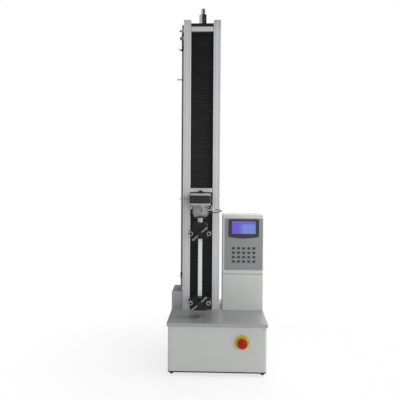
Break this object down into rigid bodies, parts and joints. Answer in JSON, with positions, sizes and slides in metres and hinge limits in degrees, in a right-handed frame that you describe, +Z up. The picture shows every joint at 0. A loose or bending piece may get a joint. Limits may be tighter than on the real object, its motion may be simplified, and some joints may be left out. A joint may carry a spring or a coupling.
{
  "type": "universal testing machine",
  "caption": "Single-column bench tensile tester: base with table, bellows-covered screw column, crosshead with load cell and screw grips, and a control cabinet with display.",
  "frame": {"origin": "on the floor, at the centre of the footprint", "axes": "+Z up along the column, +X to the cabinet's side, -Y to the front where the grips and the stop are"},
  "size_m": [0.41, 0.48, 1.591],
  "materials": {
    "light_grey_paint": "satin light-grey powder coat",
    "table_grey": "satin grey plate",
    "dark_paint": "satin black powder coat",
    "profile_aluminium": "silver anodised",
    "cast_grey": "bead-blasted casting",
    "black_oxide": "black oxide",
    "bright_steel": "bright nickel plate",
    "ground_steel": "ground steel",
    "nickel_cell": "nickel-plated steel",
    "bronze": "bearing bronze",
    "bellows_cloth": "coated black cloth",
    "black_rubber": "matte rubber",
    "motor_black": "black motor paint",
    "yellow_plastic": "yellow plastic",
    "red_plastic": "red plastic",
    "black_plastic": "black plastic",
    "panel_grey": "grey-green panel film",
    "bezel_plastic": "dark bezel",
    "screen_blue": "blue display",
    "key_rubber": "dark keys",
    "strip_rubber": "off-white elastic strip",
    "lead_grey": "grey cable sheath"
  },
  "bodies": {
    "frame": {"base_plate": "dark_paint", "rubber_feet": "black_rubber", "base_cover": "light_grey_paint", "table_top": "table_grey", "drive_motor": "motor_black", "timing_belt": "black_rubber", "estop_plate": "yellow_plastic", "estop_housing": "black_plastic", "power_inlet": "black_plastic", "column_left_profile": "profile_aluminium", "column_right_profile": "profile_aluminium", "column_back_cover": "light_grey_paint", "column_foot_block": "dark_paint", "column_top_plate": "dark_paint", "guide_rods": "ground_steel", "screw_bearings": "ground_steel", "top_bearing_housing": "ground_steel", "upper_bellows": "bellows_cloth", "lower_bellows": "bellows_cloth", "bellows_top_bar": "profile_aluminium", "limit_rod_guides": "cast_grey", "limit_switch_housing": "light_grey_paint", "limit_switch": "black_plastic", "lower_grip_adapter": "bright_steel", "test_strip": "strip_rubber", "cabinet_base": "light_grey_paint", "control_box": "light_grey_paint", "control_panel": "panel_grey", "display_screen": "screen_blue", "display_bezel": "bezel_plastic", "keypad": "key_rubber", "lower_grip_body": "black_oxide", "lower_grip_pins": "bright_steel"},
    "crosshead": {"carriage": "cast_grey", "guide_bushes": "bronze", "ball_nut": "ground_steel", "crosshead_arm": "cast_grey", "crosshead_cover": "dark_paint", "crosshead_bars": "profile_aluminium", "load_cell": "nickel_cell", "cell_lead_fittings": "bright_steel", "cell_lead": "lead_grey", "striker_arm": "cast_grey", "upper_grip_adapter": "bright_steel", "upper_grip_body": "black_oxide", "upper_grip_pins": "bright_steel"},
    "screw": {"ball_screw": "ground_steel", "screw_pulley": "profile_aluminium"},
    "motor": {"motor_pulley": "ground_steel"},
    "upper_jaw": {"upper_front_jaw": "black_oxide"},
    "upper_screw": {"upper_clamp_screw": "black_oxide"},
    "upper_bar": {"upper_tommy_bar": "ground_steel"},
    "lower_jaw": {"lower_front_jaw": "black_oxide"},
    "lower_screw": {"lower_clamp_screw": "black_oxide"},
    "lower_bar": {"lower_tommy_bar": "ground_steel"},
    "rod": {"limit_rod": "ground_steel"},
    "upper_stop": {"upper_collar": "ground_steel"},
    "lower_stop": {"lower_collar": "ground_steel"},
    "stop_button": {"estop_button": "red_plastic"},
    "rocker": {"power_rocker": "black_plastic"}
  },
  "joints": [
    {"name": "crosshead_slide", "type": "slide", "parent": "frame", "child": "crosshead", "axis": [0, 0, 1], "range_m": [-0.2, 0.45], "deforming": ["upper_bellows", "lower_bellows", "test_strip"]},
    {"name": "screw_spin", "type": "hinge", "parent": "frame", "child": "screw", "pos_m": [-0.074, 0.122, 0.156], "axis": [0, 0, 1], "continuous": true},
    {"name": "motor_spin", "type": "hinge", "parent": "frame", "child": "motor", "pos_m": [0.06, 0.122, 0.156], "axis": [0, 0, 1], "continuous": true},
    {"name": "upper_jaw_slide", "type": "slide", "parent": "crosshead", "child": "upper_jaw", "axis": [0, -1, 0], "range_m": [0, 0.01]},
    {"name": "upper_screw_turn", "type": "hinge", "parent": "upper_jaw", "child": "upper_screw", "pos_m": [-0.074, -0.155, 0.572], "axis": [0, -1, 0], "range_deg": [0, 1800]},
    {"name": "upper_bar_slide", "type": "slide", "parent": "upper_screw", "child": "upper_bar", "axis": [0.7431, 0, 0.6691], "range_m": [-0.02, 0.02]},
    {"name": "lower_jaw_slide", "type": "slide", "parent": "frame", "child": "lower_jaw", "axis": [0, -1, 0], "range_m": [0, 0.01]},
    {"name": "lower_screw_turn", "type": "hinge", "parent": "lower_jaw", "child": "lower_screw", "pos_m": [-0.074, -0.155, 0.283], "axis": [0, -1, 0], "range_deg": [0, 1800]},
    {"name": "lower_bar_slide", "type": "slide", "parent": "lower_screw", "child": "lower_bar", "axis": [0.7431, 0, 0.6691], "range_m": [-0.02, 0.02]},
    {"name": "limit_rod_slide", "type": "slide", "parent": "frame", "child": "rod", "axis": [0, 0, 1], "range_m": [-0.004, 0.004], "stiffness_N_per_m": 4000},
    {"name": "upper_collar_slide", "type": "slide", "parent": "rod", "child": "upper_stop", "axis": [0, 0, 1], "range_m": [-0.075, 0.1]},
    {"name": "lower_collar_slide", "type": "slide", "parent": "rod", "child": "lower_stop", "axis": [0, 0, 1], "range_m": [-0.03, 0.13]},
    {"name": "estop_push", "type": "slide", "parent": "frame", "child": "stop_button", "axis": [0, 1, 0], "range_m": [0, 0.005], "stiffness_N_per_m": 800},
    {"name": "rocker_tilt", "type": "hinge", "parent": "frame", "child": "rocker", "pos_m": [0.12, 0.234, 0.1255], "axis": [1, 0, 0], "range_deg": [-20, 0]}
  ],
  "couplings": [
    {"joint": "screw_spin", "follows": "crosshead_slide", "rad_per_m": -628.32},
    {"joint": "motor_spin", "follows": "crosshead_slide", "rad_per_m": -1256.6},
    {"joint": "upper_screw_turn", "follows": "upper_jaw_slide", "rad_per_m": 3141.6},
    {"joint": "lower_screw_turn", "follows": "lower_jaw_slide", "rad_per_m": 3141.6}
  ]
}
